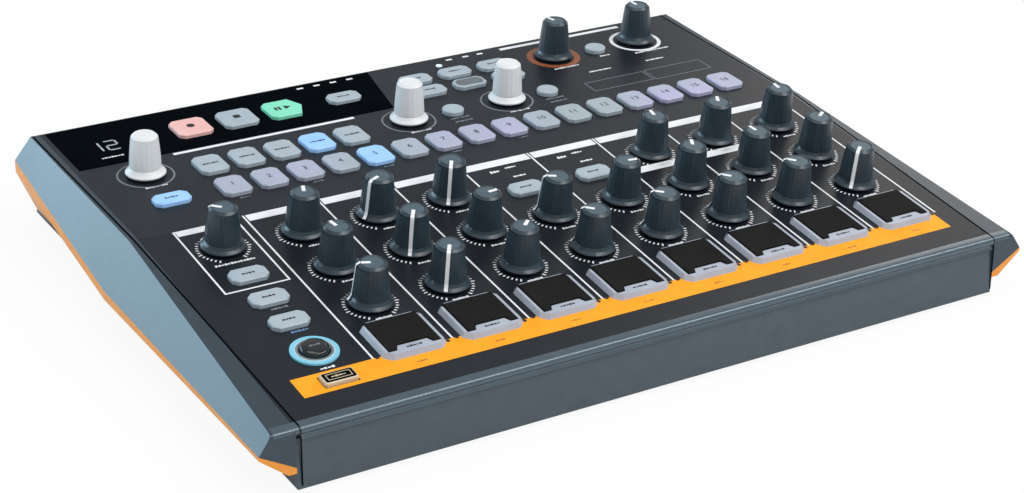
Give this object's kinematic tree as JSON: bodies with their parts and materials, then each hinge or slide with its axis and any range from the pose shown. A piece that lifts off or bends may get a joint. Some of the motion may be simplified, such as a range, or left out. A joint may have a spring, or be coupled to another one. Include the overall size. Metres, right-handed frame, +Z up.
{
  "type": "drum machine",
  "caption": "Low wedge-shaped desktop drum machine with side cheeks, rotary knobs, finger pads, step keys, encoders and a small display window.",
  "frame": {"origin": "bottom centre of the bounding box, on the table under the feet", "axes": "+X to the player's right, +Y away from the player towards the rear sockets, +Z up"},
  "size_m": [0.316, 0.234, 0.0548],
  "materials": {
    "case_grey": "fine matt, grey-blue",
    "panel_slate": "satin painted slate",
    "cheek_blue": "satin moulded blue-grey",
    "trim_orange": "satin orange",
    "foot_rubber": "matt",
    "screw_steel": "zinc",
    "board": "solder mask",
    "pot_metal": "plain",
    "frame_grey": "satin pale grey",
    "socket_black": "black",
    "display_glass": "smoked window",
    "ring_lit": "translucent, lit blue",
    "key_pink": "satin",
    "key_mint": "satin",
    "key_grey": "satin",
    "key_beige": "satin",
    "knob_black": "satin",
    "knob_white": "satin",
    "pad_rubber": "soft matt"
  },
  "bodies": {
    "case": {"base_tray": "case_grey", "top_panel": "panel_slate", "left_cheek": "cheek_blue", "right_cheek": "cheek_blue", "cheek_trims": "trim_orange", "rubber_feet": "foot_rubber", "case_screws": "screw_steel", "main_board": "board", "control_board": "board", "pot_bodies": "pot_metal", "pad_frames": "frame_grey", "rear_sockets": "socket_black", "display_module": "display_glass", "accent_ring": "ring_lit"},
    "sequence_knob": {"sequence_knob": "knob_black"},
    "channel_1_front_knob": {"channel_1_front_knob": "knob_black"},
    "channel_1_middle_knob": {"channel_1_middle_knob": "knob_black"},
    "channel_1_back_knob": {"channel_1_back_knob": "knob_black"},
    "channel_2_front_knob": {"channel_2_front_knob": "knob_black"},
    "channel_2_middle_knob": {"channel_2_middle_knob": "knob_black"},
    "channel_2_back_knob": {"channel_2_back_knob": "knob_black"},
    "channel_3_front_knob": {"channel_3_front_knob": "knob_black"},
    "channel_3_middle_knob": {"channel_3_middle_knob": "knob_black"},
    "channel_3_back_knob": {"channel_3_back_knob": "knob_black"},
    "channel_4_front_knob": {"channel_4_front_knob": "knob_black"},
    "channel_4_middle_knob": {"channel_4_middle_knob": "knob_black"},
    "channel_5_front_knob": {"channel_5_front_knob": "knob_black"},
    "channel_5_middle_knob": {"channel_5_middle_knob": "knob_black"},
    "channel_6_front_knob": {"channel_6_front_knob": "knob_black"},
    "channel_6_middle_knob": {"channel_6_middle_knob": "knob_black"},
    "channel_6_back_knob": {"channel_6_back_knob": "knob_black"},
    "channel_7_front_knob": {"channel_7_front_knob": "knob_black"},
    "channel_7_middle_knob": {"channel_7_middle_knob": "knob_black"},
    "channel_7_back_knob": {"channel_7_back_knob": "knob_black"},
    "channel_8_front_knob": {"channel_8_front_knob": "knob_black"},
    "channel_8_middle_knob": {"channel_8_middle_knob": "knob_black"},
    "channel_8_back_knob": {"channel_8_back_knob": "knob_black"},
    "drive_knob": {"drive_knob": "knob_black"},
    "volume_knob": {"volume_knob": "knob_black"},
    "tempo_encoder": {"tempo_encoder": "knob_white"},
    "swing_encoder": {"swing_encoder": "knob_white"},
    "pattern_encoder": {"pattern_encoder": "knob_white"},
    "pad_1": {"pad_1": "pad_rubber"},
    "pad_2": {"pad_2": "pad_rubber"},
    "pad_3": {"pad_3": "pad_rubber"},
    "pad_4": {"pad_4": "pad_rubber"},
    "pad_5": {"pad_5": "pad_rubber"},
    "pad_6": {"pad_6": "pad_rubber"},
    "pad_7": {"pad_7": "pad_rubber"},
    "pad_8": {"pad_8": "pad_rubber"},
    "step_keys": {"step_keys": "key_grey"},
    "function_keys": {"function_keys": "key_grey"},
    "record_key": {"record_key": "key_pink"},
    "stop_key": {"stop_key": "key_grey"},
    "play_key": {"play_key": "key_mint"},
    "menu_keys": {"menu_keys": "key_grey"},
    "channel_keys": {"channel_keys": "key_grey"},
    "bank_key": {"bank_key": "key_beige"},
    "accent_key": {"accent_key": "knob_black"},
    "power_key": {"power_key": "knob_black"}
  },
  "joints": [
    {"name": "sequence_turn", "type": "hinge", "parent": "case", "child": "sequence_knob", "pos_m": [-0.11951, -0.00849, 0.03679], "axis": [0, -0.0958, 0.9954], "range_deg": [-202, 98]},
    {"name": "channel_1_front_turn", "type": "hinge", "parent": "case", "child": "channel_1_front_knob", "pos_m": [-0.0889, -0.06155, 0.03168], "axis": [0, -0.0958, 0.9954], "range_deg": [-220, 80]},
    {"name": "channel_1_middle_turn", "type": "hinge", "parent": "case", "child": "channel_1_middle_knob", "pos_m": [-0.0889, -0.03577, 0.03417], "axis": [0, -0.0958, 0.9954], "range_deg": [-160, 140]},
    {"name": "channel_1_back_turn", "type": "hinge", "parent": "case", "child": "channel_1_back_knob", "pos_m": [-0.0889, -0.00999, 0.03665], "axis": [0, -0.0958, 0.9954], "range_deg": [-130, 170]},
    {"name": "channel_2_front_turn", "type": "hinge", "parent": "case", "child": "channel_2_front_knob", "pos_m": [-0.0589, -0.06155, 0.03168], "axis": [0, -0.0958, 0.9954], "range_deg": [-297, 3]},
    {"name": "channel_2_middle_turn", "type": "hinge", "parent": "case", "child": "channel_2_middle_knob", "pos_m": [-0.0589, -0.03577, 0.03417], "axis": [0, -0.0958, 0.9954], "range_deg": [-297, 3]},
    {"name": "channel_2_back_turn", "type": "hinge", "parent": "case", "child": "channel_2_back_knob", "pos_m": [-0.0589, -0.00999, 0.03665], "axis": [0, -0.0958, 0.9954], "range_deg": [-265, 35]},
    {"name": "channel_3_front_turn", "type": "hinge", "parent": "case", "child": "channel_3_front_knob", "pos_m": [-0.0289, -0.06155, 0.03168], "axis": [0, -0.0958, 0.9954], "range_deg": [-102, 198]},
    {"name": "channel_3_middle_turn", "type": "hinge", "parent": "case", "child": "channel_3_middle_knob", "pos_m": [-0.0289, -0.03577, 0.03417], "axis": [0, -0.0958, 0.9954], "range_deg": [-65, 235]},
    {"name": "channel_3_back_turn", "type": "hinge", "parent": "case", "child": "channel_3_back_knob", "pos_m": [-0.0289, -0.00999, 0.03665], "axis": [0, -0.0958, 0.9954], "range_deg": [-298, 2]},
    {"name": "channel_4_front_turn", "type": "hinge", "parent": "case", "child": "channel_4_front_knob", "pos_m": [0.0011, -0.06155, 0.03168], "axis": [0, -0.0958, 0.9954], "range_deg": [-200, 100]},
    {"name": "channel_4_middle_turn", "type": "hinge", "parent": "case", "child": "channel_4_middle_knob", "pos_m": [0.0011, -0.03577, 0.03417], "axis": [0, -0.0958, 0.9954], "range_deg": [-213, 87]},
    {"name": "channel_5_front_turn", "type": "hinge", "parent": "case", "child": "channel_5_front_knob", "pos_m": [0.0311, -0.06155, 0.03168], "axis": [0, -0.0958, 0.9954], "range_deg": [-202, 98]},
    {"name": "channel_5_middle_turn", "type": "hinge", "parent": "case", "child": "channel_5_middle_knob", "pos_m": [0.0311, -0.03577, 0.03417], "axis": [0, -0.0958, 0.9954], "range_deg": [-53, 247]},
    {"name": "channel_6_front_turn", "type": "hinge", "parent": "case", "child": "channel_6_front_knob", "pos_m": [0.0611, -0.06155, 0.03168], "axis": [0, -0.0958, 0.9954], "range_deg": [-195, 105]},
    {"name": "channel_6_middle_turn", "type": "hinge", "parent": "case", "child": "channel_6_middle_knob", "pos_m": [0.0611, -0.03577, 0.03417], "axis": [0, -0.0958, 0.9954], "range_deg": [-125, 175]},
    {"name": "channel_6_back_turn", "type": "hinge", "parent": "case", "child": "channel_6_back_knob", "pos_m": [0.0611, -0.00999, 0.03665], "axis": [0, -0.0958, 0.9954], "range_deg": [-140, 160]},
    {"name": "channel_7_front_turn", "type": "hinge", "parent": "case", "child": "channel_7_front_knob", "pos_m": [0.0911, -0.06155, 0.03168], "axis": [0, -0.0958, 0.9954], "range_deg": [-195, 105]},
    {"name": "channel_7_middle_turn", "type": "hinge", "parent": "case", "child": "channel_7_middle_knob", "pos_m": [0.0911, -0.03577, 0.03417], "axis": [0, -0.0958, 0.9954], "range_deg": [-158, 142]},
    {"name": "channel_7_back_turn", "type": "hinge", "parent": "case", "child": "channel_7_back_knob", "pos_m": [0.0911, -0.00999, 0.03665], "axis": [0, -0.0958, 0.9954], "range_deg": [-122, 178]},
    {"name": "channel_8_front_turn", "type": "hinge", "parent": "case", "child": "channel_8_front_knob", "pos_m": [0.1211, -0.06155, 0.03168], "axis": [0, -0.0958, 0.9954], "range_deg": [-280, 20]},
    {"name": "channel_8_middle_turn", "type": "hinge", "parent": "case", "child": "channel_8_middle_knob", "pos_m": [0.1211, -0.03577, 0.03417], "axis": [0, -0.0958, 0.9954], "range_deg": [-96, 204]},
    {"name": "channel_8_back_turn", "type": "hinge", "parent": "case", "child": "channel_8_back_knob", "pos_m": [0.1211, -0.00999, 0.03665], "axis": [0, -0.0958, 0.9954], "range_deg": [-145, 155]},
    {"name": "drive_turn", "type": "hinge", "parent": "case", "child": "drive_knob", "pos_m": [0.07619, 0.08608, 0.04047], "axis": [0, -0.0262, 0.9997], "range_deg": [-165, 135]},
    {"name": "volume_turn", "type": "hinge", "parent": "case", "child": "volume_knob", "pos_m": [0.11769, 0.08608, 0.04047], "axis": [0, -0.0262, 0.9997], "range_deg": [-153, 147]},
    {"name": "tempo_turn", "type": "hinge", "parent": "case", "child": "tempo_encoder", "pos_m": [-0.12159, 0.05569, 0.03967], "axis": [0, -0.0262, 0.9997], "continuous": true},
    {"name": "swing_turn", "type": "hinge", "parent": "case", "child": "swing_encoder", "pos_m": [-0.0101, 0.05569, 0.03967], "axis": [0, -0.0262, 0.9997], "continuous": true},
    {"name": "pattern_turn", "type": "hinge", "parent": "case", "child": "pattern_encoder", "pos_m": [0.03501, 0.05569, 0.03967], "axis": [0, -0.0262, 0.9997], "continuous": true},
    {"name": "pad_1_press", "type": "slide", "parent": "case", "child": "pad_1", "axis": [0, 0.0958, -0.9954], "range_m": [0, 0.001], "stiffness_N_per_m": 1500, "springref_m": -0.0003},
    {"name": "pad_2_press", "type": "slide", "parent": "case", "child": "pad_2", "axis": [0, 0.0958, -0.9954], "range_m": [0, 0.001], "stiffness_N_per_m": 1500, "springref_m": -0.0003},
    {"name": "pad_3_press", "type": "slide", "parent": "case", "child": "pad_3", "axis": [0, 0.0958, -0.9954], "range_m": [0, 0.001], "stiffness_N_per_m": 1500, "springref_m": -0.0003},
    {"name": "pad_4_press", "type": "slide", "parent": "case", "child": "pad_4", "axis": [0, 0.0958, -0.9954], "range_m": [0, 0.001], "stiffness_N_per_m": 1500, "springref_m": -0.0003},
    {"name": "pad_5_press", "type": "slide", "parent": "case", "child": "pad_5", "axis": [0, 0.0958, -0.9954], "range_m": [0, 0.001], "stiffness_N_per_m": 1500, "springref_m": -0.0003},
    {"name": "pad_6_press", "type": "slide", "parent": "case", "child": "pad_6", "axis": [0, 0.0958, -0.9954], "range_m": [0, 0.001], "stiffness_N_per_m": 1500, "springref_m": -0.0003},
    {"name": "pad_7_press", "type": "slide", "parent": "case", "child": "pad_7", "axis": [0, 0.0958, -0.9954], "range_m": [0, 0.001], "stiffness_N_per_m": 1500, "springref_m": -0.0003},
    {"name": "pad_8_press", "type": "slide", "parent": "case", "child": "pad_8", "axis": [0, 0.0958, -0.9954], "range_m": [0, 0.001], "stiffness_N_per_m": 1500, "springref_m": -0.0003},
    {"name": "step_keys_press", "type": "slide", "parent": "case", "child": "step_keys", "axis": [0, 0.0262, -0.9997], "range_m": [0, 0.0008], "stiffness_N_per_m": 1500, "springref_m": -0.0003},
    {"name": "function_keys_press", "type": "slide", "parent": "case", "child": "function_keys", "axis": [0, 0.0262, -0.9997], "range_m": [0, 0.0008], "stiffness_N_per_m": 1500, "springref_m": -0.0003},
    {"name": "record_key_press", "type": "slide", "parent": "case", "child": "record_key", "axis": [0, 0.0262, -0.9997], "range_m": [0, 0.0008], "stiffness_N_per_m": 1500, "springref_m": -0.0003},
    {"name": "stop_key_press", "type": "slide", "parent": "case", "child": "stop_key", "axis": [0, 0.0262, -0.9997], "range_m": [0, 0.0008], "stiffness_N_per_m": 1500, "springref_m": -0.0003},
    {"name": "play_key_press", "type": "slide", "parent": "case", "child": "play_key", "axis": [0, 0.0262, -0.9997], "range_m": [0, 0.0008], "stiffness_N_per_m": 1500, "springref_m": -0.0003},
    {"name": "menu_keys_press", "type": "slide", "parent": "case", "child": "menu_keys", "axis": [0, 0.0262, -0.9997], "range_m": [0, 0.0008], "stiffness_N_per_m": 1500, "springref_m": -0.0003},
    {"name": "channel_keys_press", "type": "slide", "parent": "case", "child": "channel_keys", "axis": [0, 0.0958, -0.9954], "range_m": [0, 0.0008], "stiffness_N_per_m": 1500, "springref_m": -0.0003},
    {"name": "bank_key_press", "type": "slide", "parent": "case", "child": "bank_key", "axis": [0, 0.0958, -0.9954], "range_m": [0, 0.0008], "stiffness_N_per_m": 1500, "springref_m": -0.0003},
    {"name": "accent_key_press", "type": "slide", "parent": "case", "child": "accent_key", "axis": [0, 0.0958, -0.9954], "range_m": [0, 0.0008], "stiffness_N_per_m": 1500, "springref_m": -0.0003},
    {"name": "power_key_press", "type": "slide", "parent": "case", "child": "power_key", "axis": [0, -0.9708, -0.24], "range_m": [0, 0.0015], "stiffness_N_per_m": 1500, "springref_m": -0.0003}
  ]
}
